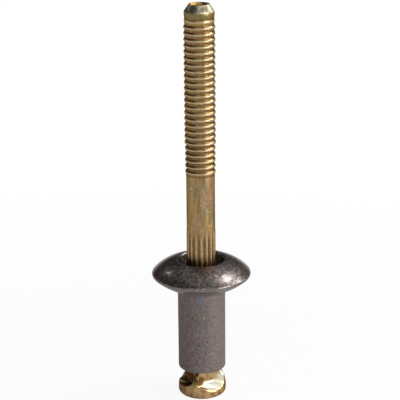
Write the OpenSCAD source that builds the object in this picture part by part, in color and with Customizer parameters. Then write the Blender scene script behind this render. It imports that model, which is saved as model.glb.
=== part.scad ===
// Structural blind rivet, unset, standing on the head of its mandrel.
// All sizes are in millimetres. Z runs along the rivet, and z = 0 is the foot of the mandrel head.

/* [Rivet body] */
// Outside diameter of the sleeve
sleeve_d = 6.42; // [5.8:0.02:7.2]
// Length from the free end of the sleeve to the widest part of the flange
grip_l = 13.6; // [10:0.05:18]
// Rounding of the sleeve's free end
end_round = 0.3; // [0.1:0.05:0.6]
// Diameter of the flange
flange_d = 13.3; // [11.8:0.1:14.4]
// Rounding of the flange's rim
rim_round = 0.35; // [0.15:0.05:0.5]
// How far the bulging underside falls from the rim to the sleeve
underside_drop = 2.15; // [1.6:0.05:3.2]
// Radius of the underside's bulge
underside_r = 9.5; // [7:0.1:14]
// Radius of the dome's section
dome_r = 5.9; // [5.3:0.1:7]
// Distance of that radius's centre from the axis
dome_offset = 2.2; // [1.8:0.1:2.5]
// Diameter of the mouth of the recess in the dome
recess_d = 6.1; // [5.6:0.1:6.8]
// Depth of the recess below the crown of the dome
recess_depth = 2.6; // [1.5:0.1:3.5]
// Lean of the recess's wall from upright, in degrees
recess_lean = 12; // [5:1:20]
// Fall of the recess's floor towards the bore
floor_drop = 0.4; // [0.2:0.1:0.8]
// Rounding of the lip between the dome and the recess
lip_round = 0.35; // [0.15:0.05:0.45]
// Radial clearance of the pull ridges in the bore, which they pass when the rivet is put together
bore_clearance = 0.03; // [0.02:0.01:0.08]

/* [Mandrel shank] */
// Overall length of the mandrel
mandrel_l = 53.9; // [50:0.1:60]
// Diameter of the plain shank
shank_d = 3.8; // [3.66:0.02:3.84]
// Diameter over the splines
spline_d = 3.88; // [3.86:0.02:3.96]
// Number of splines
spline_count = 16; // [12:1:20]
// Depth of the hollows between the splines
spline_depth = 0.14; // [0.08:0.01:0.2]
// Length of the splines above the widest part of the flange
spline_above = 6.75; // [4:0.05:9]
// Length of the splines below it, hidden in the sleeve
spline_below = 4.5; // [3:0.1:6]
// Length over which the splines fade into the shank
spline_fade = 1.2; // [0.6:0.1:2]
// Diameter of the break neck inside the sleeve
neck_d = 2.7; // [2.3:0.1:3.1]
// Height of the break neck above the mandrel head
neck_z = 7.4; // [5:0.1:7.6]

/* [Pull grooves] */
// Least length of plain shank between the splines and the last ridge
plain_l = 7.3; // [4:0.1:12]
// Distance from one ridge to the next
ridge_pitch = 0.8; // [0.7:0.01:0.82]
// Diameter over the full ridges
ridge_d = 4.1; // [4:0.02:4.2]
// Diameter at the bottom of the pull grooves
groove_d = 3.82; // [3.6:0.02:3.86]
// Number of lower ridges at the shank's end of the row
low_ridges = 5; // [0:1:8]
// How much smaller the lower ridges are in diameter
low_ridge_cut = 0.1; // [0:0.02:0.14]
// How much smaller the grooves above them are in diameter
low_groove_cut = 0.18; // [0:0.02:0.3]
// Distance from the mandrel's tip to the first ridge
tip_to_ridge = 2.95; // [2.2:0.05:3.6]
// Diameter of the band below the tip's chamfer
band_d = 3.96; // [3.9:0.02:4.1]
// Height of that band
band_h = 0.5; // [0.2:0.05:0.6]
// Diameter between the band and the first ridge
waist_d = 3.88; // [3.86:0.02:3.96]
// Diameter of the tip's flat end
tip_d = 2.7; // [2.5:0.1:3]
// Height of the chamfer at the tip
tip_chamfer = 0.95; // [0.6:0.05:1.1]
// Diameter of the dimple in the tip
dimple_d = 2.4; // [1.8:0.1:2.4]
// Depth of the dimple
dimple_depth = 0.9; // [0.4:0.1:1.5]

/* [Mandrel head] */
// Diameter of the mandrel head
head_d = 6.5; // [6.3:0.02:6.8]
// Height of the mandrel head
head_h = 3.85; // [3.5:0.05:4.5]
// Rounding of the foot's edge
foot_round = 0.6; // [0.2:0.05:0.8]
// Height of the head's rounded shoulder
shoulder_h = 2.0; // [1.7:0.05:2.1]
// Radius of the shoulder's section
shoulder_r = 2.5; // [2.3:0.05:2.6]
// Direction of the first scoop from the +X axis, in degrees
scoop_turn = -61.1; // [-90:0.1:0]
// Turn from the first scoop to the second, in degrees
second_scoop = 92; // [85:1:105]
// Turn from the first scoop to the third, in degrees
third_scoop = 197; // [175:1:200]
// Turn from the first scoop to the fourth, in degrees
fourth_scoop = 270; // [265:1:280]
// Diameter of a scoop's flat inner face
scoop_d = 2.9; // [2.4:0.1:3.2]
// Depth of the flat face's centre below the sleeve
scoop_z = 0.44; // [0.2:0.02:0.6]
// How much deeper than the shank's surface the flat face lies
scoop_sink = 0.03; // [0.01:0.01:0.1]
// Fall of a scoop's floor from level, in degrees
scoop_drop = 22; // [15:1:30]
// Slope of the ramp below the flat face, in degrees
scoop_ramp = 43; // [35:1:50]
// Fall of that ramp from the flat face's lower edge to the scoop's floor
scoop_ramp_h = 0.6; // [0.3:0.05:0.65]
// Flare of a scoop's wide side from its own axis, in degrees
scoop_spread = 75; // [60:1:76]
// Flare of a scoop's narrow side from its own axis, in degrees
scoop_flare = 54; // [50:1:58]
// How far below the flat face's centre the mouth is widest
mouth_sink = 1; // [0.5:0.1:1.4]

/* [Hidden] */
$fn = 96;

sleeve_r = sleeve_d / 2;
shank_r = shank_d / 2;
spline_r = spline_d / 2;
bore_r = ridge_d / 2 + bore_clearance;
rim_z = head_h + grip_l;

// Centre of the rim's rounding, and of the dome's section, which touches it from inside
rim_centre = [flange_d / 2 - rim_round, rim_z];
dome_reach = rim_centre[0] - dome_offset;
dome_sink = sqrt(pow(dome_r - rim_round, 2) - pow(dome_reach, 2));
dome_centre = [dome_offset, rim_z - dome_sink];
dome_start = atan2(dome_sink, dome_reach);

// Centre of the lip's rounding, which touches the dome from inside and the recess's wall
lip_reach = recess_d / 2 + lip_round - dome_offset;
dome_end = acos(lip_reach / (dome_r - lip_round));
lip_centre = dome_centre + (dome_r - lip_round) * [cos(dome_end), sin(dome_end)];
crown_z = lip_centre[1] + lip_round;
wall_top = lip_centre + lip_round * [cos(180 - recess_lean), sin(180 - recess_lean)];
floor_z = crown_z - recess_depth;
floor_r = wall_top[0] - (wall_top[1] - floor_z) * tan(recess_lean);

// Centre of the underside's bulge, which starts at the sleeve and touches the rim's rounding from outside
join_z = rim_z - underside_drop;
under_span = rim_centre - [sleeve_r, join_z];
under_l = norm(under_span);
under_along = (pow(underside_r, 2) - pow(underside_r - rim_round, 2) + pow(under_l, 2)) / (2 * under_l);
under_aside = sqrt(pow(underside_r, 2) - pow(under_along, 2));
under_way = under_span / under_l;
under_centre = [sleeve_r, join_z] + under_along * under_way + under_aside * [-under_way[1], under_way[0]];
under_start = atan2(join_z - under_centre[1], sleeve_r - under_centre[0]);
under_end = atan2(rim_centre[1] - under_centre[1], rim_centre[0] - under_centre[0]);

spline_top = rim_z + spline_above;
spline_bottom = rim_z - spline_below;

// The ridges fill the shank from the tip down to its plain stretch
first_ridge_z = mandrel_l - tip_to_ridge;
ridge_count = 1 + floor((first_ridge_z - spline_top - plain_l) / ridge_pitch);
shoulder_centre = [head_d / 2 - shoulder_r, head_h - shoulder_h];
shoulder_end = asin(shoulder_h / shoulder_r);
band_z = mandrel_l - tip_chamfer - band_h;

// Half widths of a ridge at its crest, its flank and its foot, as shares of the pitch
ridge_crest = 0.1;
ridge_flank = 0.24;
ridge_foot = 0.38;
// Share of a ridge's height that its flank point keeps
ridge_waist = 0.54;
// Slope of the break neck's walls, as length over depth
neck_slope = 0.8;
// Reach of the cutters past the surface that they cut, and thickness of their ends
past = 0.5;
thin = 0.01;

// Points along an arc, from one angle to another
function arc(centre, radius, from, to, steps) = [
    for (i = [0 : steps]) let (a = from + (to - from) * i / steps) centre + radius * [cos(a), sin(a)]
];

// One for the lower ridges at the shank's end of the row, which are counted from the tip, and nought for the others
function low(i) = i >= ridge_count - low_ridges ? 1 : 0;

// Radius of the groove above one ridge, and of the shank below the last ridge
function groove_r(i) = i == ridge_count ? shank_r : (groove_d - low(i) * low_groove_cut) / 2;

// One ridge, from its lower foot to its upper foot
function ridge(i) = let (
    z = first_ridge_z - i * ridge_pitch,
    crest = (ridge_d - low(i) * low_ridge_cut) / 2,
    below = groove_r(i + 1),
    above = groove_r(i)
) [
    [below, z - ridge_foot * ridge_pitch],
    [below + (crest - below) * ridge_waist, z - ridge_flank * ridge_pitch],
    [crest, z - ridge_crest * ridge_pitch],
    [crest, z + ridge_crest * ridge_pitch],
    [above + (crest - above) * ridge_waist, z + ridge_flank * ridge_pitch],
    [above, z + ridge_foot * ridge_pitch]
];

// Half section of the rivet body
body_outline = concat(
    [[bore_r, head_h]],
    arc([sleeve_r - end_round, head_h + end_round], end_round, -90, 0, 6),
    arc(under_centre, underside_r, under_start, under_end, 10),
    arc(rim_centre, rim_round, under_end, dome_start, 8),
    arc(dome_centre, dome_r, dome_start, dome_end, 12),
    arc(lip_centre, lip_round, dome_end, 180 - recess_lean, 8),
    [[floor_r, floor_z], [bore_r, floor_z - floor_drop]]
);

// Half section of the mandrel, from its foot to its tip, before the splines and scoops
mandrel_outline = concat(
    [[0, 0]],
    arc([head_d / 2 - foot_round, foot_round], foot_round, -90, 0, 8),
    arc(shoulder_centre, shoulder_r, 0, shoulder_end, 10),
    [
        [shank_r, head_h],
        [shank_r, head_h + neck_z - (shank_r - neck_d / 2) * neck_slope],
        [neck_d / 2, head_h + neck_z],
        [shank_r, head_h + neck_z + (shank_r - neck_d / 2) * neck_slope],
        [shank_r, spline_bottom - (spline_r - shank_r)],
        [spline_r, spline_bottom],
        [spline_r, spline_top - spline_fade],
        [shank_r, spline_top]
    ],
    [for (i = [ridge_count - 1 : -1 : 0]) each ridge(i)],
    [
        [waist_d / 2, first_ridge_z + 0.62 * ridge_pitch],
        [waist_d / 2, band_z - 0.1],
        [band_d / 2, band_z],
        [band_d / 2, mandrel_l - tip_chamfer],
        [tip_d / 2, mandrel_l],
        [0, mandrel_l]
    ]
);

module rivet_body() {
    color([0.36, 0.33, 0.33])
        rotate_extrude() polygon(body_outline);
}

// The hollows between the splines, as upright round cutters that run out at both ends
module spline_hollows() {
    pitch_angle = 360 / spline_count;
    hollow_w = 2 * spline_r * sin(pitch_angle / 2) * 0.72;
    hollow_r = (pow(hollow_w / 2, 2) + pow(spline_depth, 2)) / (2 * spline_depth);
    for (i = [0 : spline_count - 1])
        rotate((i + 0.5) * pitch_angle - 88.5)
            translate([spline_r - spline_depth + hollow_r, 0, spline_bottom])
                cylinder(h = spline_top - spline_fade - spline_bottom, r = hollow_r, $fn = 48);
}

// One scoop, which widens from its round flat inner face to an oblong mouth, with a ramp below the flat face
module scoop() {
    reach = head_d / 2 - shank_r + past;
    low = scoop_d / 2 + reach * tan(scoop_drop);
    wide = scoop_d / 2 + reach * tan(scoop_spread);
    narrow = scoop_d / 2 + reach * tan(scoop_flare);
    mouth = [
        for (a = [0 : 6 : 354])
            [mouth_sink + (sin(a) < 0 ? low + mouth_sink : low - mouth_sink) * sin(a),
             (cos(a) < 0 ? wide : narrow) * cos(a)]
    ];
    translate([shank_r - scoop_sink, 0, head_h - scoop_z])
        rotate([0, 90, 0]) {
            hull() {
                cylinder(h = thin, r = scoop_d / 2, $fn = 60);
                translate([0, 0, reach]) linear_extrude(thin) polygon(mouth);
            }
            intersection() {
                cylinder(h = reach, r1 = scoop_d / 2, r2 = scoop_d / 2 + reach * tan(scoop_ramp));
                translate([0, -head_d, 0]) cube([scoop_d / 2 + scoop_ramp_h, 2 * head_d, reach]);
            }
        }
}

// The dimple in the mandrel's tip
module dimple() {
    translate([0, 0, mandrel_l - dimple_depth])
        cylinder(h = dimple_depth, r1 = dimple_d / 8, r2 = dimple_d / 2);
}

module mandrel() {
    color([0.72, 0.58, 0.33])
        difference() {
            rotate_extrude() polygon(mandrel_outline);
            spline_hollows();
            for (turn = [0, second_scoop, third_scoop, fourth_scoop])
                rotate(scoop_turn + turn) scoop();
            dimple();
        }
}

rivet_body();
mandrel();
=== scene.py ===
import math

import bpy
import numpy as np
from mathutils import Matrix, Vector


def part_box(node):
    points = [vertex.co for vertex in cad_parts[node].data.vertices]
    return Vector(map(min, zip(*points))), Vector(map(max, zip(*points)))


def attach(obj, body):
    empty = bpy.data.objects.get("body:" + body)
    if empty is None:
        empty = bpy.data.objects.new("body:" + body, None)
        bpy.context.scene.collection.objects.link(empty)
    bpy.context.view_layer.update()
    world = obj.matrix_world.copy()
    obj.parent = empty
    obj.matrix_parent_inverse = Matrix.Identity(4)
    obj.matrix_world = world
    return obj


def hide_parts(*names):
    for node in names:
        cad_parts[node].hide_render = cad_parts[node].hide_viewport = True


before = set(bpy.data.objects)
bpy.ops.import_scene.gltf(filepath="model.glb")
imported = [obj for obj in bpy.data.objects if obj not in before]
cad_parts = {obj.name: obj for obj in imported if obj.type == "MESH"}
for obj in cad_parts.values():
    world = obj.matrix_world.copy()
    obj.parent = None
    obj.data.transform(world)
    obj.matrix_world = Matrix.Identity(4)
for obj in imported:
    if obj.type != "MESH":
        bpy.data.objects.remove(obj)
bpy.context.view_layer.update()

MM = 0.001

# Heights and radii that the frame gives
BODY_LOW, BODY_HIGH = [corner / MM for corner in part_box("rivet_body")]
MANDREL_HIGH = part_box("mandrel")[1] / MM
SLEEVE_END = BODY_LOW.z
FLANGE_R = BODY_HIGH.x
MANDREL_L = MANDREL_HIGH.z
HEAD_R = MANDREL_HIGH.x

# Rivet body
SLEEVE_R = 3.21
END_ROUND = 0.3
GRIP_L = 13.6
RIM_Z = SLEEVE_END + GRIP_L
RIM_ROUND = 0.35
JOIN_Z = RIM_Z - 2.15
JOIN_FILLET = 0.25
UNDERSIDE_R = 9.5
DOME_R = 5.9
DOME_OFFSET = 2.2
RECESS_R = 3.05
RECESS_DEPTH = 2.6
RECESS_LEAN = 12.0
RECESS_FILLET = 0.4
RECESS_FILLET_RISE = 0.3
RECESS_FILLET_END = -82.0
FLOOR_DROP = 0.4
LIP_ROUND = 0.35
BORE_R = 2.08
BORE_BREAK = 0.12
# Share of a break at which the middle of its rounded edge lies
BREAK_MIDDLE = 0.3

# Mandrel shank
SHANK_R = 1.9
NECK_R = 1.35
NECK_Z = SLEEVE_END + 7.4
# Half length of the break neck over its walls, and of its narrowest stretch
NECK_HALF_L = 0.42
NECK_FLAT = 0.05
SPLINE_R = 1.94
SPLINE_COUNT = 16
SPLINE_TURN = math.radians(-88.5)
SPLINE_DEPTH = 0.14
SPLINE_TOP = RIM_Z + 6.75
SPLINE_BOTTOM = RIM_Z - 4.5
SPLINE_FADE = 1.2

# Pull grooves, from the tip down
FIRST_RIDGE_Z = MANDREL_L - 2.95
RIDGE_COUNT = 25
RIDGE_PITCH = 0.8
RIDGE_R = 2.05
GROOVE_R = 1.91
# The last ridges and their grooves are rolled lower, and a faint ridge starts the row above the first
LOW_RIDGES = 5
LOW_RIDGE_CUT = 0.05
LOW_GROOVE_CUT = 0.09
STARTING_RIDGE_CUT = 0.08
RIDGES_Z = FIRST_RIDGE_Z - (RIDGE_COUNT - 0.5) * RIDGE_PITCH
STARTING_RIDGE_Z = FIRST_RIDGE_Z + RIDGE_PITCH
# Start and full depth of the rolling, in pitches below the first ridge
ROLLING_START = (-1.5, -1.2)

# Tip, with its waist, band, chamfer and dimple
TIP_WAIST_R = 1.94
TIP_WAIST_RISE = 0.1
TIP_BAND_R = 1.98
TIP_BAND_H = 0.5
# Rounding of the band's edges: its length, and how far the lower and the upper edge fall
TIP_BAND_EDGE = 0.08
TIP_BAND_FALLS = (0.01, 0.02)
TIP_CHAMFER = 0.95
TIP_R = 1.35
CHAMFER_EDGE = 0.05
TIP_EDGE = 0.08
TIP_EDGE_ROUND = 0.03
DIMPLE_R = 1.25
DIMPLE_DEPTH = 0.9
DIMPLE_LIP = 0.05
DIMPLE_LIP_FALL = 0.01
# Stretch of the quarter ellipse that the dimple follows, in radians down from its edge
DIMPLE_ANGLES = (0.06, 1.5)

# Mandrel head
FOOT_ROUND = 0.6
SHOULDER_H = 2.0
SHOULDER_R = 2.5
UNDERCUT_R = 1.8
UNDERCUT_H = 0.2
UNDERCUT_RUN_OUT = 0.1
# Each scoop's turn about Z, the tilt of its floor and the height of the ramp that leads to it
SCOOP_TURNS = [math.radians(-61.1 + turn) for turn in (0, 92, 197, 270)]
SCOOP_TILTS = [math.radians(tilt) for tilt in (8.7, 8.7, 8.7, -9)]
SCOOP_RAMPS_H = (0.6, 0.6, 0.6, 0.35)
# The round flat inner face, the fall of ramp and floor, and the flare of the two sides
SCOOP_R = 1.45
SCOOP_Z = SLEEVE_END - 0.44
SCOOP_FLAT_R = SHANK_R - 0.03
SCOOP_RAMP = math.radians(43)
SCOOP_FLOOR = math.radians(4)
SCOOP_BEND = 0.15
SCOOP_FLARES = (math.radians(74), math.radians(64))
SCOOP_TOP_FLARE = math.radians(42)
SCOOP_FLARE_Z = (1.9, 2.85)
# Rounding of the outer edge and of the inner crease
SCOOP_EDGE = 0.2
SCOOP_CREASE = 0.1
# Least width of the head's flat top beside a scoop
SCOOP_LAND = 0.02

# Mesh fineness
BODY_SIDES = 192
HEAD_SIDES = 384
SPLINE_SIDES = 192
RIDGE_SIDES = 96
HEAD_STEP = 0.06
SPLINE_STEP = 0.3
RIDGE_STEPS = 14
DIMPLE_STEPS = 14
SCOOP_HALVINGS = 24
# Height above the head at which the mesh goes over to half as many sides
SIDES_HALVE_H = 0.5
# A length too small to see
HAIR = 1e-4

# Camera, as the photograph was taken
PHOTO_SIDE = 400
FOCAL_PIXELS = 1400
CAMERA_AIM = Vector((-0.095, 0.0, 27.71))
CAMERA_DISTANCE = 185.6
CAMERA_PITCH = math.radians(18)
CAMERA_ROLL = math.radians(-0.5)
SENSOR_WIDTH = 36.0
CLIP_REACH = (0.01, 10)


# Half sections

def arc(centre, radius, start, end, steps):
    """Points on an arc of the half section, between two angles in degrees."""
    angles = np.radians(np.linspace(start, end, steps + 1))
    return [(centre[0] + radius * math.cos(a), centre[1] + radius * math.sin(a)) for a in angles]


def straight(start, end, steps):
    """Points on a line of the half section, both ends left out."""
    shares = [i / steps for i in range(1, steps)]
    return [(start[0] + (end[0] - start[0]) * s, start[1] + (end[1] - start[1]) * s) for s in shares]


def heading(start, end):
    """Direction in degrees from one point of the half section to another."""
    return math.degrees(math.atan2(end[1] - start[1], end[0] - start[0]))


def touching_centre(first, first_reach, second, second_reach):
    """The point above two others that has a set distance from each."""
    span = math.dist(first, second)
    along = (first_reach ** 2 - second_reach ** 2 + span ** 2) / (2 * span)
    aside = math.sqrt(first_reach ** 2 - along ** 2)
    way = ((second[0] - first[0]) / span, (second[1] - first[1]) / span)
    return (first[0] + along * way[0] - aside * way[1], first[1] + along * way[1] + aside * way[0])


def body_section():
    """Closed half section of the rivet body, from the bore's lower end out, up and back down."""
    rim = (FLANGE_R - RIM_ROUND, RIM_Z)
    dome_reach = rim[0] - DOME_OFFSET
    dome_sink = math.sqrt((DOME_R - RIM_ROUND) ** 2 - dome_reach ** 2)
    dome = (DOME_OFFSET, RIM_Z - dome_sink)
    dome_start = math.degrees(math.atan2(dome_sink, dome_reach))
    lip_reach = RECESS_R + LIP_ROUND - DOME_OFFSET
    dome_end = math.degrees(math.acos(lip_reach / (DOME_R - LIP_ROUND)))
    lip = (RECESS_R + LIP_ROUND, dome[1] + (DOME_R - LIP_ROUND) * math.sin(math.radians(dome_end)))
    lean = math.radians(RECESS_LEAN)
    floor_z = lip[1] + LIP_ROUND - RECESS_DEPTH
    wall_top = lip[0] - LIP_ROUND * math.cos(lean)
    floor_r = wall_top - (lip[1] + LIP_ROUND * math.sin(lean) - floor_z) * math.tan(lean)
    under = touching_centre((SLEEVE_R, JOIN_Z), UNDERSIDE_R, rim, UNDERSIDE_R - RIM_ROUND)
    under_end = heading(under, rim)
    fillet_fall = math.sqrt((UNDERSIDE_R + JOIN_FILLET) ** 2 - (SLEEVE_R + JOIN_FILLET - under[0]) ** 2)
    fillet = (SLEEVE_R + JOIN_FILLET, under[1] - fillet_fall)
    nook = (floor_r - RECESS_FILLET, floor_z + RECESS_FILLET_RISE)
    bore_top = floor_z - FLOOR_DROP
    bore_edge_r = BORE_R + BORE_BREAK
    floor_middle = ((nook[0] + bore_edge_r) / 2, (nook[1] + bore_top + BORE_BREAK) / 2)
    break_middle = BORE_BREAK * BREAK_MIDDLE
    end_round = (SLEEVE_R - END_ROUND, SLEEVE_END + END_ROUND)
    return [
        (BORE_R, SLEEVE_END + BORE_BREAK),
        (BORE_R + break_middle, SLEEVE_END + break_middle),
        (bore_edge_r, SLEEVE_END),
        *straight((bore_edge_r, SLEEVE_END), (end_round[0], SLEEVE_END), steps=4),
        *arc(end_round, END_ROUND, -90, 0, steps=8),
        *straight((SLEEVE_R, end_round[1]), (SLEEVE_R, fillet[1]), steps=30),
        *arc(fillet, JOIN_FILLET, 180, heading(fillet, under), steps=5),
        *arc(under, UNDERSIDE_R, heading(under, fillet), under_end, steps=20)[1:-1],
        *arc(rim, RIM_ROUND, under_end, dome_start, steps=12),
        *arc(dome, DOME_R, dome_start, dome_end, steps=40)[1:-1],
        *arc(lip, LIP_ROUND, dome_end, 180 - RECESS_LEAN, steps=12),
        *straight((wall_top, lip[1]), (floor_r, floor_z + RECESS_FILLET), steps=5),
        *arc(nook, RECESS_FILLET, -RECESS_LEAN, RECESS_FILLET_END, steps=7),
        floor_middle,
        (bore_edge_r, bore_top),
        (BORE_R, bore_top - BORE_BREAK),
        *straight((BORE_R, bore_top), (BORE_R, SLEEVE_END), steps=12),
    ]


def head_section():
    """Half section of the mandrel head before its scoops, from the foot's middle to the undercut."""
    shoulder = (HEAD_R - SHOULDER_R, SLEEVE_END - SHOULDER_H)
    shoulder_end = math.degrees(math.asin(SHOULDER_H / SHOULDER_R))
    shoulder_steps = round(math.radians(shoulder_end) * SHOULDER_R / HEAD_STEP)
    rim_steps = round((shoulder[1] - FOOT_ROUND) / HEAD_STEP)
    top_edge = (shoulder[0] + SHOULDER_R * math.cos(math.radians(shoulder_end)), SLEEVE_END)
    return [
        (0, 0),
        *straight((0, 0), (HEAD_R - FOOT_ROUND, 0), steps=6),
        *arc((HEAD_R - FOOT_ROUND, FOOT_ROUND), FOOT_ROUND, -90, 0, steps=12),
        *straight((HEAD_R, FOOT_ROUND), (HEAD_R, shoulder[1]), rim_steps),
        *arc(shoulder, SHOULDER_R, 0, shoulder_end, shoulder_steps),
        *straight(top_edge, (UNDERCUT_R, SLEEVE_END), steps=4),
        (UNDERCUT_R, SLEEVE_END),
        (UNDERCUT_R, SLEEVE_END + UNDERCUT_H),
        (SHANK_R, SLEEVE_END + UNDERCUT_H + UNDERCUT_RUN_OUT),
    ]


def spline_section():
    """Half section of the shank from inside the sleeve to above the splines, with the break neck."""
    spline_end = SPLINE_TOP + SPLINE_FADE
    rows = round((spline_end - SPLINE_BOTTOM) / SPLINE_STEP)
    return [
        (SHANK_R, SLEEVE_END + SIDES_HALVE_H),
        (SHANK_R, NECK_Z - NECK_HALF_L),
        (NECK_R, NECK_Z - NECK_FLAT),
        (NECK_R, NECK_Z + NECK_FLAT),
        (SHANK_R, NECK_Z + NECK_HALF_L),
        *straight((SHANK_R, SPLINE_BOTTOM - SPLINE_FADE), (SHANK_R, spline_end), rows),
    ]


def tip_section():
    """Half section of the tip, from the waist above the last ridge up to the bottom of the dimple."""
    chamfer_foot = MANDREL_L - TIP_CHAMFER
    band_foot = chamfer_foot - TIP_BAND_H
    low_fall, high_fall = TIP_BAND_FALLS
    chamfer_low = (TIP_BAND_R - high_fall, chamfer_foot + CHAMFER_EDGE)
    chamfer_high = (TIP_R + CHAMFER_EDGE, MANDREL_L - TIP_EDGE)
    angles = np.linspace(*DIMPLE_ANGLES, DIMPLE_STEPS)
    return [
        (TIP_WAIST_R, band_foot - TIP_WAIST_RISE),
        (TIP_BAND_R - low_fall, band_foot),
        (TIP_BAND_R, band_foot + TIP_BAND_EDGE),
        (TIP_BAND_R, chamfer_foot - TIP_BAND_EDGE),
        chamfer_low,
        *straight(chamfer_low, chamfer_high, steps=6),
        (TIP_R + TIP_EDGE_ROUND, MANDREL_L - TIP_EDGE_ROUND),
        (TIP_R - TIP_EDGE_ROUND, MANDREL_L),
        (DIMPLE_R + DIMPLE_LIP, MANDREL_L - DIMPLE_LIP_FALL),
        *[(DIMPLE_R * math.cos(a), MANDREL_L - DIMPLE_DEPTH * math.sin(a)) for a in angles],
        (0, MANDREL_L - DIMPLE_DEPTH),
    ]


def ridge_section():
    """Half section of the shank's upper end as turned, before its grooves are rolled."""
    row_start = STARTING_RIDGE_Z + RIDGE_PITCH / 2
    rows = round((row_start - RIDGES_Z) / RIDGE_PITCH * RIDGE_STEPS)
    waist_start = FIRST_RIDGE_Z - RIDGE_PITCH / 2
    blank = straight((SHANK_R, RIDGES_Z), (SHANK_R, row_start), rows)
    return [
        *straight((SHANK_R, SPLINE_TOP + SPLINE_FADE), (SHANK_R, RIDGES_Z), steps=8),
        (SHANK_R, RIDGES_Z),
        *[(SHANK_R if z < waist_start else TIP_WAIST_R, z) for _, z in blank],
    ]


# Turned meshes

def ring_faces(lower, lower_sides, upper, upper_sides):
    """Faces between two rings of a turned mesh. A ring of one side is a point on the axis."""
    if lower_sides == 1:
        return [(lower, upper + (i + 1) % upper_sides, upper + i) for i in range(upper_sides)]
    if upper_sides == 1:
        return [(lower + i, lower + (i + 1) % lower_sides, upper) for i in range(lower_sides)]
    faces = []
    for i in range(upper_sides):
        ahead = (i + 1) % upper_sides
        if lower_sides == upper_sides:
            faces.append((lower + i, lower + ahead, upper + ahead, upper + i))
            continue
        left, middle, right = lower + 2 * i, lower + 2 * i + 1, lower + (2 * i + 2) % lower_sides
        faces.append((left, middle, upper + i))
        faces.append((middle, upper + ahead, upper + i))
        faces.append((middle, right, upper + ahead))
    return faces


def turned_mesh(name, bands, closed=False):
    """Mesh turned about Z from bands of points. A band may have half as many sides as the one before."""
    points = []
    rings = []
    for sides, section in bands:
        turns = np.arange(sides) * 2 * math.pi / sides
        for radius, height in section:
            angles = turns if radius > 0 else turns[:1]
            rings.append((len(points), len(angles)))
            points += [(radius * math.cos(a), radius * math.sin(a), height) for a in angles]
    faces = []
    for (lower, lower_sides), (upper, upper_sides) in zip(rings, rings[1:]):
        faces += ring_faces(lower, lower_sides, upper, upper_sides)
    if closed:
        faces += ring_faces(*rings[-1], *rings[0])
    mesh = bpy.data.meshes.new(name)
    mesh.from_pydata(points, [], faces)
    mesh.shade_smooth()
    return mesh


def mesh_points(mesh):
    """The mesh's points as an array."""
    flat = np.empty(len(mesh.vertices) * 3)
    mesh.vertices.foreach_get("co", flat)
    return flat.reshape(-1, 3)


def piece(name, mesh):
    """An object of the scene, at the origin, for a mesh."""
    made = bpy.data.objects.new(name, mesh)
    bpy.context.scene.collection.objects.link(made)
    return made


# Scoops of the mandrel head

def soft_max(first, second, rounding):
    """The larger of two distances, rounded where they differ by less than the rounding."""
    near = np.maximum(rounding - np.abs(first - second), 0)
    return np.maximum(first, second) + near ** 2 / (4 * rounding)


def scoop_distance(radius, angle, height):
    """Distance to the nearest scoop's hollow, below zero inside it. A ramp joins its face and its floor."""
    nearest = None
    upper = np.clip((height - SCOOP_FLARE_Z[0]) / (SCOOP_FLARE_Z[1] - SCOOP_FLARE_Z[0]), 0, 1)
    for turn, tilt, ramp_h in zip(SCOOP_TURNS, SCOOP_TILTS, SCOOP_RAMPS_H):
        out = radius * np.cos(angle - turn) - SCOOP_FLAT_R
        side = radius * np.sin(angle - turn)
        low_flare = np.where(side < 0, math.tan(SCOOP_FLARES[0]), math.tan(SCOOP_FLARES[1]))
        flare = low_flare + (math.tan(SCOOP_TOP_FLARE) - low_flare) * upper
        ahead = np.maximum(out, 0)
        half_width = SCOOP_R + ahead * flare
        floor_fall = ramp_h + ahead * math.tan(SCOOP_FLOOR) + side * math.tan(tilt)
        fall = -soft_max(-ahead * math.tan(SCOOP_RAMP), -floor_fall, SCOOP_BEND)
        half_height = SCOOP_R + np.maximum(fall, 0)
        wall = (np.hypot(side / half_width, (height - SCOOP_Z) / half_height) - 1) * SCOOP_R
        hollow = soft_max(wall, -out, SCOOP_CREASE)
        nearest = hollow if nearest is None else -soft_max(-nearest, -hollow, SCOOP_EDGE)
    return nearest


def cut_scoops(mesh):
    """Draws the head's points in to the scoops, each along its own radius, by repeated halving."""
    points = mesh_points(mesh)
    radius = np.hypot(points[:, 0], points[:, 1])
    height = points[:, 2]
    angle = np.arctan2(points[:, 1], points[:, 0])
    cut = (height > FOOT_ROUND / 2) & (height <= SLEEVE_END) & (radius > UNDERCUT_R + HAIR)
    edge_r = HEAD_R - SHOULDER_R + math.sqrt(SHOULDER_R ** 2 - SHOULDER_H ** 2)
    on_top = height > SLEEVE_END - HAIR
    blank = np.where(on_top, edge_r, radius)
    inner = np.full_like(radius, NECK_R)
    outer = blank.copy()
    for _ in range(SCOOP_HALVINGS):
        middle = (inner + outer) / 2
        outside = soft_max(middle - blank, -scoop_distance(middle, angle, height), SCOOP_EDGE) > 0
        outer = np.where(outside, middle, outer)
        inner = np.where(outside, inner, middle)
    share = np.where(on_top, (radius - UNDERCUT_R) / (edge_r - UNDERCUT_R), 1)
    reached = UNDERCUT_R + np.maximum(inner - UNDERCUT_R, SCOOP_LAND) * share
    scale = np.where(cut, np.where(on_top, reached, inner) / np.maximum(radius, HAIR), 1)
    points[:, :2] *= scale[:, None]
    mesh.vertices.foreach_set("co", points.ravel())


# Node trees

def add_node(tree, kind, **settings):
    """A node of the tree, with its settings."""
    made = tree.nodes.new(kind)
    for name, value in settings.items():
        setattr(made, name, value)
    return made


def feed(tree, socket, value):
    """Gives a socket its value: another node's output, or a constant."""
    if isinstance(value, bpy.types.NodeSocket):
        tree.links.new(value, socket)
    else:
        socket.default_value = value


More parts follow.
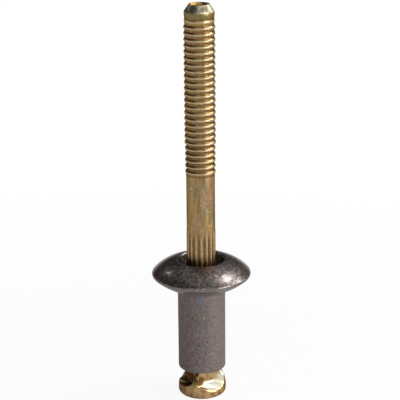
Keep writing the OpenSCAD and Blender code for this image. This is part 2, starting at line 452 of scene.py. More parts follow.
def sum_up(tree, operation, first, second=0.0, third=0.0):
    """Output of a Math node."""
    made = add_node(tree, "ShaderNodeMath", operation=operation)
    for socket, value in zip(made.inputs, (first, second, third)):
        feed(tree, socket, value)
    return made.outputs[0]


def ramp(tree, value, low, high, low_result=0.0, high_result=1.0):
    """Output of a Map Range node, which runs smoothly between its ends and is held past them."""
    made = add_node(tree, "ShaderNodeMapRange", interpolation_type="SMOOTHSTEP")
    for name, setting in (("Value", value), ("From Min", low), ("From Max", high),
                          ("To Min", low_result), ("To Max", high_result)):
        feed(tree, made.inputs[name], setting)
    return made.outputs[0]


def band(tree, value, low, high, soft):
    """One between two bounds of a value and none outside them, with soft edges."""
    risen = ramp(tree, value, low - soft, low + soft)
    return sum_up(tree, "MULTIPLY", risen, ramp(tree, value, high - soft, high + soft, 1.0, 0.0))


# Geometry Nodes of the mandrel

def shape_tree(name, sizes):
    """A geometry tree with a named input for each size, and its input node's outputs by name."""
    tree = bpy.data.node_groups.new(name, "GeometryNodeTree")
    tree.interface.new_socket("Geometry", in_out="INPUT", socket_type="NodeSocketGeometry")
    for size in sizes:
        tree.interface.new_socket(size, in_out="INPUT", socket_type="NodeSocketFloat")
    tree.interface.new_socket("Finish", in_out="INPUT", socket_type="NodeSocketMaterial")
    tree.interface.new_socket("Geometry", in_out="OUTPUT", socket_type="NodeSocketGeometry")
    return tree, add_node(tree, "NodeGroupInput").outputs


def surface_place(tree):
    """Outputs for the surface's place: its x and y without height, its radius, and its height."""
    position = add_node(tree, "GeometryNodeInputPosition").outputs[0]
    apart = add_node(tree, "ShaderNodeSeparateXYZ")
    tree.links.new(position, apart.inputs[0])
    level = add_node(tree, "ShaderNodeCombineXYZ")
    tree.links.new(apart.outputs[0], level.inputs[0])
    tree.links.new(apart.outputs[1], level.inputs[1])
    length = add_node(tree, "ShaderNodeVectorMath", operation="LENGTH")
    tree.links.new(level.outputs[0], length.inputs[0])
    return level.outputs[0], length.outputs["Value"], apart.outputs[2]


def finish_tree(tree, sizes, level, radius, growth):
    """Moves each point along its radius by the growth, and closes the tree."""
    outward = add_node(tree, "ShaderNodeVectorMath", operation="SCALE")
    tree.links.new(level, outward.inputs[0])
    feed(tree, outward.inputs["Scale"], sum_up(tree, "DIVIDE", growth, radius))
    moved = add_node(tree, "GeometryNodeSetPosition")
    tree.links.new(sizes["Geometry"], moved.inputs["Geometry"])
    tree.links.new(outward.outputs[0], moved.inputs["Offset"])
    real = add_node(tree, "GeometryNodeRealizeInstances")
    tree.links.new(moved.outputs[0], real.inputs[0])
    coated = add_node(tree, "GeometryNodeSetMaterial")
    tree.links.new(real.outputs[0], coated.inputs["Geometry"])
    tree.links.new(sizes["Finish"], coated.inputs["Material"])
    tree.links.new(coated.outputs[0], add_node(tree, "NodeGroupOutput").inputs[0])


def pull_groove_tree():
    """Rolls ridges and grooves into the shank. Crests count 0, 1, 2 and on, down from the first ridge."""
    names = ["First Ridge Height", "Pitch", "Ridges", "Low Ridges", "Ridge Radius", "Low Ridge Cut",
             "Starting Ridge Cut", "Groove Radius", "Low Groove Cut", "Shank Radius"]
    tree, sizes = shape_tree("roll_pull_grooves", names)
    level, radius, height = surface_place(tree)
    below = sum_up(tree, "SUBTRACT", sizes["First Ridge Height"], height)
    count = sum_up(tree, "DIVIDE", below, sizes["Pitch"])
    wave = sum_up(tree, "COSINE", sum_up(tree, "MULTIPLY", count, 2 * math.pi))
    crest_share = ramp(tree, wave, -1.0, 1.0)
    full_ridges = sum_up(tree, "SUBTRACT", sizes["Ridges"], sizes["Low Ridges"])
    low_crest = sum_up(tree, "GREATER_THAN", count, sum_up(tree, "SUBTRACT", full_ridges, 0.5))
    low_groove = sum_up(tree, "GREATER_THAN", count, sum_up(tree, "SUBTRACT", full_ridges, 1.0))
    crest_cut = sum_up(tree, "MULTIPLY", low_crest, sizes["Low Ridge Cut"])
    groove_cut = sum_up(tree, "MULTIPLY", low_groove, sizes["Low Groove Cut"])
    starting = sum_up(tree, "LESS_THAN", count, -0.5)
    crest_cut = sum_up(tree, "MULTIPLY_ADD", starting, sizes["Starting Ridge Cut"], crest_cut)
    crest = sum_up(tree, "SUBTRACT", sizes["Ridge Radius"], crest_cut)
    groove = sum_up(tree, "SUBTRACT", sizes["Groove Radius"], groove_cut)
    last = sum_up(tree, "SUBTRACT", sizes["Ridges"], 1.0)
    past_last = sum_up(tree, "GREATER_THAN", count, last)
    groove_depth = sum_up(tree, "SUBTRACT", sizes["Shank Radius"], groove)
    bottom = sum_up(tree, "MULTIPLY_ADD", past_last, groove_depth, groove)
    rise = sum_up(tree, "SUBTRACT", crest, bottom)
    rolled = sum_up(tree, "MULTIPLY_ADD", rise, crest_share, bottom)
    started = ramp(tree, count, *ROLLING_START)
    row_end = sum_up(tree, "SUBTRACT", sizes["Ridges"], 0.5)
    inside = sum_up(tree, "MULTIPLY", started, sum_up(tree, "LESS_THAN", count, row_end))
    growth = sum_up(tree, "MULTIPLY", sum_up(tree, "SUBTRACT", rolled, radius), inside)
    finish_tree(tree, sizes, level, radius, growth)
    return tree


def spline_tree():
    """Presses upright splines into the shank, which fade out at both ends."""
    names = ["Splines", "Turn", "Bottom", "Top", "Fade", "Rise", "Depth"]
    tree, sizes = shape_tree("press_splines", names)
    level, radius, height = surface_place(tree)
    apart = add_node(tree, "ShaderNodeSeparateXYZ")
    tree.links.new(level, apart.inputs[0])
    angle = sum_up(tree, "ARCTAN2", apart.outputs[1], apart.outputs[0])
    turned = sum_up(tree, "MULTIPLY", sum_up(tree, "SUBTRACT", angle, sizes["Turn"]), sizes["Splines"])
    crest_share = sum_up(tree, "MULTIPLY_ADD", sum_up(tree, "COSINE", turned), 0.5, 0.5)
    hollow = sum_up(tree, "MULTIPLY", sum_up(tree, "SUBTRACT", crest_share, 1.0), sizes["Depth"])
    shaped = sum_up(tree, "ADD", hollow, sizes["Rise"])
    low_end = sum_up(tree, "SUBTRACT", sizes["Bottom"], sizes["Fade"])
    high_start = sum_up(tree, "SUBTRACT", sizes["Top"], sizes["Fade"])
    risen = ramp(tree, height, low_end, sizes["Bottom"])
    falling = ramp(tree, height, high_start, sizes["Top"], 1.0, 0.0)
    growth = sum_up(tree, "MULTIPLY", shaped, sum_up(tree, "MULTIPLY", risen, falling))
    finish_tree(tree, sizes, level, radius, growth)
    return tree


def add_shape(target, tree, finish, values):
    """A Geometry Nodes modifier, with its inputs set by their sockets' identifiers."""
    modifier = target.modifiers.new(tree.name, "NODES")
    modifier.node_group = tree
    for socket in tree.interface.items_tree:
        if socket.in_out == "INPUT" and socket.name in values:
            modifier[socket.identifier] = values[socket.name]
        if socket.in_out == "INPUT" and socket.name == "Finish":
            modifier[socket.identifier] = finish


def made_plain(target):
    """The evaluated mesh of an object takes its own mesh's place, and its modifiers go."""
    evaluated = target.evaluated_get(bpy.context.evaluated_depsgraph_get())
    mesh = bpy.data.meshes.new_from_object(evaluated)
    target.modifiers.clear()
    target.data = mesh


# Materials

def new_finish(name):
    """A material, its tree and its Principled shader."""
    material = bpy.data.materials.new(name)
    material.use_nodes = True
    shader = material.node_tree.nodes["Principled BSDF"]
    return material, material.node_tree, shader


def place_in_mm(tree):
    """The surface's place in millimetres, and its x, y and z."""
    place = add_node(tree, "ShaderNodeTexCoord").outputs["Object"]
    sized = add_node(tree, "ShaderNodeVectorMath", operation="SCALE")
    tree.links.new(place, sized.inputs[0])
    sized.inputs["Scale"].default_value = 1 / MM
    apart = add_node(tree, "ShaderNodeSeparateXYZ")
    tree.links.new(sized.outputs[0], apart.inputs[0])
    return sized.outputs[0], apart.outputs


def noise(tree, place, scale, detail=2.0, stretch=(1, 1, 1), roughness=0.5, shift=(0, 0, 0)):
    """Value of a Noise texture, with its scale in waves per millimetre."""
    mapped = add_node(tree, "ShaderNodeMapping")
    tree.links.new(place, mapped.inputs["Vector"])
    mapped.inputs["Scale"].default_value = stretch
    mapped.inputs["Location"].default_value = shift
    made = add_node(tree, "ShaderNodeTexNoise")
    tree.links.new(mapped.outputs[0], made.inputs["Vector"])
    made.inputs["Scale"].default_value = scale
    made.inputs["Detail"].default_value = detail
    made.inputs["Roughness"].default_value = roughness
    return made.outputs[0]


def blend_colours(tree, share, first, second):
    """Colour between two colours."""
    made = add_node(tree, "ShaderNodeMix", data_type="RGBA")
    feed(tree, made.inputs[0], share)
    feed(tree, made.inputs[6], first if isinstance(first, bpy.types.NodeSocket) else (*first, 1))
    feed(tree, made.inputs[7], second if isinstance(second, bpy.types.NodeSocket) else (*second, 1))
    return made.outputs[2]


def bump(tree, shader, *layers):
    """Bump layers of the shader, each a height value and its depth in millimetres."""
    normal = None
    for value, depth in layers:
        made = add_node(tree, "ShaderNodeBump")
        made.inputs["Distance"].default_value = depth * MM
        tree.links.new(value, made.inputs["Height"])
        if normal is not None:
            tree.links.new(normal, made.inputs["Normal"])
        normal = made.outputs[0]
    tree.links.new(normal, shader.inputs["Normal"])


def distance_from_axis(tree, axes):
    """Distance in millimetres from the rivet's axis."""
    across = sum_up(tree, "MULTIPLY", axes[1], axes[1])
    return sum_up(tree, "SQRT", sum_up(tree, "MULTIPLY_ADD", axes[0], axes[0], across))


def distance_to(tree, place, point, squash=1.0):
    """Distance in millimetres from a point of the object, with heights counted less by the squash."""
    offset = add_node(tree, "ShaderNodeVectorMath", operation="SUBTRACT")
    tree.links.new(place, offset.inputs[0])
    offset.inputs[1].default_value = point
    scaled = add_node(tree, "ShaderNodeVectorMath", operation="MULTIPLY")
    tree.links.new(offset.outputs[0], scaled.inputs[0])
    scaled.inputs[1].default_value = (1, 1, squash)
    made = add_node(tree, "ShaderNodeVectorMath", operation="LENGTH")
    tree.links.new(scaled.outputs[0], made.inputs[0])
    return made.outputs["Value"]


# Tint of both metals where they are seen at a glancing angle
EDGE_TINT = (0.35, 0.3, 0.28)

# Steel of the body
DARK_STEEL = (0.12, 0.102, 0.097)
PALE_STEEL = (0.27, 0.218, 0.207)
GREEN_STEEL = (0.15, 0.148, 0.125)
PIT_BROWN = (0.05, 0.04, 0.035)
DOME_PALE = (0.36, 0.31, 0.29)
DOME_BLACK = (0.04, 0.036, 0.028)
# Heights over which the sleeve's dull finish turns into the dome's burnished one
BURNISH_HEIGHTS = (JOIN_Z, RIM_Z + 0.5)
# Bluish stain on the sleeve, with the reach of its full colour and of its ragged edge
STAIN_BLUE = (0.16, 0.17, 0.29)
STAIN_PLACE = (-0.3, -3.2, 15.05)
STAIN_REACH = (0.45, 0.85)
STAIN_SQUASH = 0.5
# White speck further down
SPECK_WHITE = (0.6, 0.58, 0.55)
SPECK_PLACE = (0.25, -3.19, 12.1)
SPECK_REACH = (0.06, 0.13)


def dome_mottle(tree, axes, mottle, colour):
    """Pale and black mottling, which shows on the dome only."""
    on_dome = ramp(tree, axes[2], RIM_Z - 0.3, RIM_Z + 0.3)
    pale = sum_up(tree, "MULTIPLY", ramp(tree, mottle, 0.36, 0.5, 0.6, 0.0), on_dome)
    dark = sum_up(tree, "MULTIPLY", ramp(tree, mottle, 0.44, 0.6, 0.0, 0.6), on_dome)
    return blend_colours(tree, dark, blend_colours(tree, pale, colour, DOME_PALE), DOME_BLACK)


def dark_steel():
    """Oiled phosphate on cold formed steel: mottled and dull on the sleeve, burnished on the dome."""
    material, tree, shader = new_finish("dark_steel")
    place, axes = place_in_mm(tree)
    grain = noise(tree, place, scale=4.6, detail=4.0, roughness=0.65)
    cloud = noise(tree, place, scale=0.55, detail=3.0)
    pits = noise(tree, place, scale=1.7, shift=(4.1, 2.3, 7.7))
    mottle = noise(tree, place, scale=2.6, detail=4.0, roughness=0.7, shift=(5.5, 1.9, 3.3))
    colour = blend_colours(tree, ramp(tree, grain, 0.33, 0.7), DARK_STEEL, PALE_STEEL)
    colour = blend_colours(tree, ramp(tree, cloud, 0.5, 0.75, 0.0, 0.55), colour, GREEN_STEEL)
    colour = blend_colours(tree, ramp(tree, pits, 0.68, 0.74, 0.0, 0.8), colour, PIT_BROWN)
    stain = distance_to(tree, place, STAIN_PLACE, STAIN_SQUASH)
    ragged = sum_up(tree, "MULTIPLY_ADD", grain, 0.5, stain)
    colour = blend_colours(tree, ramp(tree, ragged, *STAIN_REACH, 0.7, 0.0), colour, STAIN_BLUE)
    # Painted light: the flange's underside is made paler, standing in for the light it takes from the floor
    # below
    under_flange_painted_light = band(tree, axes[2], JOIN_Z + 0.1, RIM_Z - 0.1, 0.1)
    colour = blend_colours(tree, sum_up(tree, "MULTIPLY", under_flange_painted_light, 0.6), colour, DOME_PALE)
    colour = dome_mottle(tree, axes, mottle, colour)
    speck = ramp(tree, distance_to(tree, place, SPECK_PLACE), *SPECK_REACH, 0.8, 0.0)
    colour = blend_colours(tree, speck, colour, SPECK_WHITE)
    tree.links.new(colour, shader.inputs["Base Color"])
    shader.inputs["Specular Tint"].default_value = (*EDGE_TINT, 1)
    tree.links.new(ramp(tree, axes[2], *BURNISH_HEIGHTS, 0.55, 0.9), shader.inputs["Metallic"])
    smoothest = ramp(tree, axes[2], *BURNISH_HEIGHTS, 0.38, 0.25)
    tree.links.new(sum_up(tree, "MULTIPLY_ADD", grain, 0.16, smoothest), shader.inputs["Roughness"])
    tree.links.new(ramp(tree, axes[2], *BURNISH_HEIGHTS, 0.0, 0.45), shader.inputs["Coat Weight"])
    shader.inputs["Coat Roughness"].default_value = 0.13
    bump(tree, shader, (cloud, 0.04), (mottle, 0.004), (grain, 0.006))
    return material


# Zinc of the shank, its ridges and its splines
ZINC_GOLD = (0.38, 0.245, 0.095)
ZINC_OLIVE = (0.23, 0.165, 0.075)
ZINC_PINK = (0.38, 0.215, 0.15)
ZINC_GREEN = (0.24, 0.23, 0.14)
ZINC_CREAM = (0.67, 0.52, 0.35)
RIDGE_GOLD = (0.28, 0.19, 0.04)
# Brown of the painted shade in grooves and spline hollows, and of the line at the tip band's foot
GROOVE_BROWN = (0.14, 0.063, 0.02)
# Places of a painted highlight near a crest and of painted shade in a groove, as shares of the way from one
# ridge down to the next
CREST_PHASE = 0.94
GROOVE_PHASE = 0.54

# Zinc of the head
HEAD_GOLD = (0.56, 0.375, 0.17)
HEAD_BROWN = (0.33, 0.195, 0.1)
# Colours of painted shade in the head's hollows and on a land, and the white of a painted highlight
HOLLOW_SHADE_UMBER = (0.09, 0.045, 0.02)
NOOK_SHADE_BROWN = (0.17, 0.075, 0.02)
LAND_SHADE_OLIVE = (0.15, 0.1, 0.035)
PAINTED_HIGHLIGHT_WHITE = (0.95, 0.9, 0.74)
HOLLOW_PLACE = (-2.1, -0.9, 2.8)
NOOK_PLACE = (-0.5, -2.2, 2.4)
LAND_PLACE = (-0.8, -3.1, 2.9)
# Painted shade on the head: dark patches in the left scoop's hollow, in the nook left of the front scoop's
# flat and on the land between those scoops: place, reach of the full and of the last colour, strength and
# colour
HEAD_PAINTED_SHADE = (
    (HOLLOW_PLACE, (1.1, 1.9), 0.85, HOLLOW_SHADE_UMBER),
    (NOOK_PLACE, (0.55, 1.0), 0.85, NOOK_SHADE_BROWN),
    (LAND_PLACE, (0.6, 1.2), 0.8, LAND_SHADE_OLIVE),
)
# Painted highlight in the right scoop, standing in for the lamp's reflection: a broad sweep, which ends at
# a height, and a patch above it
HIGHLIGHT_SWEEP_PLACE = (2.0, -1.9, 1.5)
HIGHLIGHT_SWEEP_REACH = (1.2, 2.4)
HIGHLIGHT_SWEEP_TOP = (2.0, 2.4)
HIGHLIGHT_PATCH_PLACE = (2.9, -1.1, 2.5)
HIGHLIGHT_PATCH_REACH = (0.6, 1.2)

# Zinc of the tip, and the heights where its olive band begins
ZINC_SILVER = (0.64, 0.59, 0.43)
CHAMFER_BROWN = (0.17, 0.14, 0.09)
TIP_OLIVE = (0.15, 0.125, 0.045)
DIMPLE_GOLD = (0.4, 0.22, 0.06)
TIP_BAND_Z = (STARTING_RIDGE_Z + 0.25, STARTING_RIDGE_Z + 0.45)


def shank_zinc(tree, place, streak, rosy, grain):
    """Gold and olive streaks, with rosy and green tints and pale grains."""
    green = noise(tree, place, scale=0.9, detail=3.0, stretch=(1, 1, 0.35), shift=(9.2, 6.4, 2.2))
    colour = blend_colours(tree, ramp(tree, streak, 0.38, 0.62), ZINC_OLIVE, ZINC_GOLD)
    colour = blend_colours(tree, ramp(tree, rosy, 0.52, 0.72, 0.0, 0.7), colour, ZINC_PINK)
    colour = blend_colours(tree, ramp(tree, green, 0.55, 0.75, 0.0, 0.7), colour, ZINC_GREEN)
    return blend_colours(tree, ramp(tree, grain, 0.58, 0.7, 0.0, 0.8), colour, ZINC_CREAM)


def head_zinc(tree, place, axes, out):
    """The head's blotched colour with its painted shade patches and its painted highlight, and the share of
    it that is painted highlight.
    """
    blotch = noise(tree, place, scale=1.3, detail=3.0, shift=(2.4, 8.1, 0.6))
    colour = blend_colours(tree, ramp(tree, blotch, 0.4, 0.66), HEAD_GOLD, HEAD_BROWN)
    # Painted shade: dark patches darken the head's hollow, nook and land
    for centre, reach, strength, tint in HEAD_PAINTED_SHADE:
        painted_shade = ramp(tree, distance_to(tree, place, centre), *reach, strength, 0.0)
        colour = blend_colours(tree, painted_shade, colour, tint)
    # Painted highlight: near white in the right scoop, where the lamp's reflection falls
    in_scoop = ramp(tree, out, HEAD_R - 0.22, HEAD_R - 0.1, 1.0, 0.0)
    highlight_sweep = ramp(tree, distance_to(tree, place, HIGHLIGHT_SWEEP_PLACE), *HIGHLIGHT_SWEEP_REACH, 1.0, 0.0)
    highlight_sweep = sum_up(tree, "MULTIPLY", highlight_sweep, ramp(tree, axes[2], *HIGHLIGHT_SWEEP_TOP, 1.0, 0.0))
    highlight_patch = ramp(tree, distance_to(tree, place, HIGHLIGHT_PATCH_PLACE), *HIGHLIGHT_PATCH_REACH, 1.0, 0.0)
    painted_highlight = sum_up(tree, "MULTIPLY", in_scoop, sum_up(tree, "MAXIMUM", highlight_sweep, highlight_patch))
    return blend_colours(tree, painted_highlight, colour, PAINTED_HIGHLIGHT_WHITE), painted_highlight


def ridge_wave(tree, count, phase):
    """A wave that peaks once for each ridge, at a share of the way from its crest down to the next."""
    turn = sum_up(tree, "MULTIPLY", sum_up(tree, "SUBTRACT", count, phase), 2 * math.pi)
    return sum_up(tree, "COSINE", turn)


def paint_crest_light_and_hollow_shade(tree, axes, out, grain, colour):
    """Painted highlights on the crests and painted shade in the grooves and hollows, along the ridges and
    along the splines.
    """
    on_ridges = band(tree, axes[2], RIDGES_Z - 0.1, STARTING_RIDGE_Z + 0.35, 0.1)
    fade = (SPLINE_TOP - 1.8 * SPLINE_FADE, SPLINE_TOP - 0.2 * SPLINE_FADE)
    on_splines = ramp(tree, axes[2], *fade, 1.0, 0.0)
    above_head = ramp(tree, axes[2], SLEEVE_END, SLEEVE_END + 1.0)
    count = sum_up(tree, "DIVIDE", sum_up(tree, "SUBTRACT", FIRST_RIDGE_Z, axes[2]), RIDGE_PITCH)
    # Painted shade: brown in each groove and in the splines' hollows
    in_groove = ramp(tree, ridge_wave(tree, count, GROOVE_PHASE), 0.55, 1.0, 0.0, 0.85)
    in_hollow = ramp(tree, out, SPLINE_R - SPLINE_DEPTH, SPLINE_R, 0.75, 0.0)
    groove_share = sum_up(tree, "MULTIPLY", in_groove, on_ridges)
    hollow = sum_up(tree, "MULTIPLY_ADD", in_hollow, on_splines, groove_share)
    # Painted highlight: cream on the upward flank just above each crest and on the spline crests
    ridge_crest = ramp(tree, ridge_wave(tree, count, CREST_PHASE), 0.0, 1.0, 0.0, 0.42)
    spline_crest = ramp(tree, out, SPLINE_R - SPLINE_DEPTH * 0.5, SPLINE_R, 0.0, 0.6)
    patchy = ramp(tree, grain, 0.35, 0.6, 0.35, 1.0)
    spline_share = sum_up(tree, "MULTIPLY", spline_crest, sum_up(tree, "MULTIPLY", on_splines, patchy))
    crest = sum_up(tree, "MULTIPLY_ADD", ridge_crest, on_ridges, spline_share)
    colour = blend_colours(tree, sum_up(tree, "MULTIPLY", on_ridges, 0.2), colour, RIDGE_GOLD)
    colour = blend_colours(tree, sum_up(tree, "MULTIPLY", crest, above_head), colour, ZINC_CREAM)
    return blend_colours(tree, sum_up(tree, "MULTIPLY", hollow, above_head), colour, GROOVE_BROWN)


def tip_zinc(tree, axes, out, rosy, colour):
    """Olive band with a brown line at its foot, silver chamfer and gold dimple, and the share that is
    chamfer.
    """
    colour = blend_colours(tree, ramp(tree, axes[2], *TIP_BAND_Z, 0.0, 0.65), colour, TIP_OLIVE)
    foot_line = band(tree, axes[2], *TIP_BAND_Z, 0.08)
    colour = blend_colours(tree, sum_up(tree, "MULTIPLY", foot_line, 0.7), colour, GROOVE_BROWN)
    chamfer_z = MANDREL_L - TIP_CHAMFER
    worn = ramp(tree, axes[2], chamfer_z - 0.15, chamfer_z + 0.1)
    on_chamfer = sum_up(tree, "MULTIPLY", worn, ramp(tree, out, DIMPLE_R, DIMPLE_R + 0.06))
    in_dimple = sum_up(tree, "SUBTRACT", worn, on_chamfer)
    colour = blend_colours(tree, in_dimple, colour, DIMPLE_GOLD)
    chamfer = blend_colours(tree, ramp(tree, rosy, 0.4, 0.62), ZINC_SILVER, CHAMFER_BROWN)
    return blend_colours(tree, on_chamfer, colour, chamfer), on_chamfer


def yellow_zinc():
    """Yellow passivated zinc: streaked along the shank, bright on the head, worn to silver at the tip, with
    painted highlights and painted shade on the ridges, splines and head.
    """
    material, tree, shader = new_finish("yellow_zinc")
    place, axes = place_in_mm(tree)
    out = distance_from_axis(tree, axes)
    streak = noise(tree, place, scale=1.6, detail=4.0, stretch=(1, 1, 0.22), roughness=0.6)
    rosy = noise(tree, place, scale=1.1, detail=3.0, stretch=(1, 1, 0.3), shift=(3.7, 1.2, 5.1))
    grain = noise(tree, place, scale=5.0, detail=3.0, stretch=(1, 1, 0.5), roughness=0.6)
    on_head = ramp(tree, axes[2], SLEEVE_END - 0.1, SLEEVE_END + 0.1, 1.0, 0.0)
    head_colour, painted_highlight = head_zinc(tree, place, axes, out)
    colour = shank_zinc(tree, place, streak, rosy, grain)
    colour = blend_colours(tree, on_head, colour, head_colour)
    colour = paint_crest_light_and_hollow_shade(tree, axes, out, grain, colour)
    colour, on_chamfer = tip_zinc(tree, axes, out, rosy, colour)
    tree.links.new(colour, shader.inputs["Base Color"])
    shader.inputs["Metallic"].default_value = 1.0
    shader.inputs["Specular Tint"].default_value = (*EDGE_TINT, 1)
    rough = sum_up(tree, "MULTIPLY_ADD", streak, 0.3, 0.2)
    rough = sum_up(tree, "MULTIPLY_ADD", on_head, -0.08, rough)
    rough = sum_up(tree, "MULTIPLY_ADD", on_chamfer, 0.16, rough)
    # The painted highlight is also made rougher
    rough = sum_up(tree, "MULTIPLY_ADD", sum_up(tree, "MULTIPLY", painted_highlight, on_head), 0.16, rough)
    tree.links.new(rough, shader.inputs["Roughness"])
    bump(tree, shader, (streak, 0.02), (grain, 0.008))
    return material


# The rivet's two pieces

def make_body():
    """The rivet body, which stands for the plain one."""
    mesh = turned_mesh("steel_body", [(BODY_SIDES, body_section())], closed=True)
    mesh.transform(Matrix.Scale(MM, 4))
    mesh.materials.append(dark_steel())
    body = piece("steel_body", mesh)
    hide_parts("rivet_body")
    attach(body, "root")


def make_mandrel():
    """The mandrel, which stands for the plain one: turned, scooped, splined and rolled."""
    bands = [
        (HEAD_SIDES, head_section()),
        (SPLINE_SIDES, spline_section()),
        (RIDGE_SIDES, ridge_section() + tip_section()),
    ]
    mesh = turned_mesh("zinc_mandrel", bands)
    cut_scoops(mesh)
    mandrel = piece("zinc_mandrel", mesh)
    finish = yellow_zinc()
    add_shape(mandrel, spline_tree(), finish, {
        "Splines": SPLINE_COUNT,
        "Turn": SPLINE_TURN,
        "Bottom": SPLINE_BOTTOM,
        "Top": SPLINE_TOP,
        "Fade": SPLINE_FADE,
        "Rise": SPLINE_R - SHANK_R,
        "Depth": SPLINE_DEPTH,
    })
    add_shape(mandrel, pull_groove_tree(), finish, {
        "First Ridge Height": FIRST_RIDGE_Z,
        "Pitch": RIDGE_PITCH,
        "Ridges": RIDGE_COUNT,
        "Low Ridges": LOW_RIDGES,
        "Ridge Radius": RIDGE_R,
        "Low Ridge Cut": LOW_RIDGE_CUT,
        "Starting Ridge Cut": STARTING_RIDGE_CUT,
        "Groove Radius": GROOVE_R,
        "Low Groove Cut": LOW_GROOVE_CUT,
        "Shank Radius": SHANK_R,
    })
    made_plain(mandrel)
    mandrel.data.transform(Matrix.Scale(MM, 4))
    mandrel.data.shade_smooth()
    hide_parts("mandrel")
    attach(mandrel, "root")


# Stage, light and camera

# The floor's half side in metres, its paper, and the shares and reach in millimetres of its shadow
FLOOR_HALF = 1.5
PAPER_WHITE = (0.8, 0.8, 0.8)
SHADOW_SEEN = 0.08
SHADOW_MIRRORED = 0.9
SHADOW_REACH = (12.0, 120.0)


def make_floor():
    """Pale floor that shows white, and keeps a part of the rivet's shadow near its foot."""
    mesh = bpy.data.meshes.new("floor")
    corners = [(x * FLOOR_HALF, y * FLOOR_HALF, 0) for x, y in ((-1, -1), (1, -1), (1, 1), (-1, 1))]
    mesh.from_pydata(corners, [], [(0, 1, 2, 3)])
    material = bpy.data.materials.new("floor_paper")
    material.use_nodes = True
    tree = material.node_tree
    tree.nodes.clear()
    away = distance_to(tree, place_in_mm(tree)[0], (0, 0, 0))
    paper = add_node(tree, "ShaderNodeBsdfDiffuse")
    paper.inputs["Color"].default_value = (*PAPER_WHITE, 1)
    glow = add_node(tree, "ShaderNodeEmission")
    rays = add_node(tree, "ShaderNodeLightPath").outputs
    clear = sum_up(tree, "MAXIMUM", rays["Is Camera Ray"], rays["Is Transmission Ray"])
    white = ramp(tree, away, *SHADOW_REACH, 1 - SHADOW_SEEN, 1.0)
    mirrored = ramp(tree, away, *SHADOW_REACH, 1 - SHADOW_MIRRORED, 1.0)
    shown = sum_up(tree, "MULTIPLY", rays["Is Glossy Ray"], mirrored)
    shown = sum_up(tree, "MULTIPLY_ADD", clear, white, shown)
    mixed = add_node(tree, "ShaderNodeMixShader")
    tree.links.new(shown, mixed.inputs[0])
    tree.links.new(paper.outputs[0], mixed.inputs[1])
    tree.links.new(glow.outputs[0], mixed.inputs[2])
    tree.links.new(mixed.outputs[0], add_node(tree, "ShaderNodeOutputMaterial").inputs["Surface"])
    mesh.materials.append(material)
    piece("floor", mesh)


# The room's light, the glow's way and spread as cosines, and how high metal still shows the backdrop
ROOM_LEVEL = 0.08
GLOW_LEVEL = 0.5
GLOW_WAY = (0.36, 0.2, 0.91)
GLOW_SPREAD = (0.55, 1.0)
BACKDROP_TOP = (0.0, 0.15)


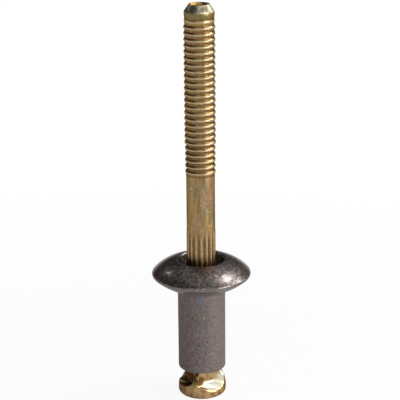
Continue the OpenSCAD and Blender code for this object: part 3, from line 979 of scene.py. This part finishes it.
def make_world():
    """White backdrop, which metal shows low down, and for light a dim room with a soft glow overhead."""
    world = bpy.data.worlds.new("studio")
    bpy.context.scene.world = world
    world.use_nodes = True
    tree = world.node_tree
    tree.nodes.clear()
    direction = add_node(tree, "ShaderNodeTexCoord").outputs["Generated"]
    toward = add_node(tree, "ShaderNodeVectorMath", operation="DOT_PRODUCT")
    tree.links.new(direction, toward.inputs[0])
    toward.inputs[1].default_value = GLOW_WAY
    level = ramp(tree, toward.outputs["Value"], *GLOW_SPREAD, ROOM_LEVEL, GLOW_LEVEL)
    rays = add_node(tree, "ShaderNodeLightPath").outputs
    seen = sum_up(tree, "MAXIMUM", rays["Is Camera Ray"], rays["Is Transmission Ray"])
    apart = add_node(tree, "ShaderNodeSeparateXYZ")
    tree.links.new(direction, apart.inputs[0])
    low = ramp(tree, apart.outputs[2], *BACKDROP_TOP, 1.0, 0.0)
    seen = sum_up(tree, "MULTIPLY_ADD", rays["Is Glossy Ray"], low, seen)
    room = add_node(tree, "ShaderNodeBackground")
    tree.links.new(level, room.inputs["Strength"])
    backdrop = add_node(tree, "ShaderNodeBackground")
    backdrop.inputs["Strength"].default_value = 1.0
    for shade in (room, backdrop):
        shade.inputs["Color"].default_value = (1, 1, 1, 1)
    mixed = add_node(tree, "ShaderNodeMixShader")
    tree.links.new(seen, mixed.inputs[0])
    tree.links.new(room.outputs[0], mixed.inputs[1])
    tree.links.new(backdrop.outputs[0], mixed.inputs[2])
    tree.links.new(mixed.outputs[0], add_node(tree, "ShaderNodeOutputWorld").inputs["Surface"])


# Name, direction from the rivet, distance, width and height in metres, and power in watts
LAMPS = (
    ("key_lamp", (0.563, 0.176, 0.805), 0.5, 0.14, 0.11, 0.7),
    ("low_lamp", (0.84, 0.2, 0.44), 0.5, 0.15, 0.2, 0.95),
    ("back_lamp", (-0.548, 0.541, 0.638), 0.5, 0.03, 0.03, 0.045),
    ("side_lamp", (0.8, -0.5, 0.25), 0.6, 0.36, 0.36, 2.6),
    ("front_lamp", (-0.05, -0.84, 0.54), 0.6, 0.5, 0.26, 0.65),
)
LAMP_AIM = Vector((0, 0, 20 * MM))


def make_lamp(name, direction, distance, width, height, power):
    """Soft lamp that faces the rivet."""
    light = bpy.data.lights.new(name, "AREA")
    light.shape = "RECTANGLE"
    light.size = width
    light.size_y = height
    light.energy = power
    lamp = piece(name, light)
    toward = Vector(direction).normalized()
    lamp.location = LAMP_AIM + toward * distance
    lamp.rotation_euler = toward.to_track_quat("Z", "Y").to_euler()


def make_lights():
    """Two lamps on the right, high and low, a small one behind, and two broad dim ones in front."""
    for lamp in LAMPS:
        make_lamp(*lamp)


def make_camera():
    """The photograph's camera: a little to look down, and turned a little about its own axis."""
    lens = bpy.data.cameras.new("camera")
    lens.sensor_width = SENSOR_WIDTH
    lens.lens = SENSOR_WIDTH * FOCAL_PIXELS / PHOTO_SIDE
    lens.clip_start, lens.clip_end = CLIP_REACH
    camera = piece("camera", lens)
    back = Vector((0, -math.cos(CAMERA_PITCH), math.sin(CAMERA_PITCH)))
    camera.location = (CAMERA_AIM + back * CAMERA_DISTANCE) * MM
    upright = back.to_track_quat("Z", "Y").to_matrix().to_4x4()
    camera.rotation_euler = (upright @ Matrix.Rotation(CAMERA_ROLL, 4, "Z")).to_euler()
    bpy.context.scene.camera = camera


make_camera()
make_body()
make_mandrel()
make_floor()
make_world()
make_lights()
bpy.context.scene.view_settings.view_transform = "Standard"

bpy.context.view_layer.update()
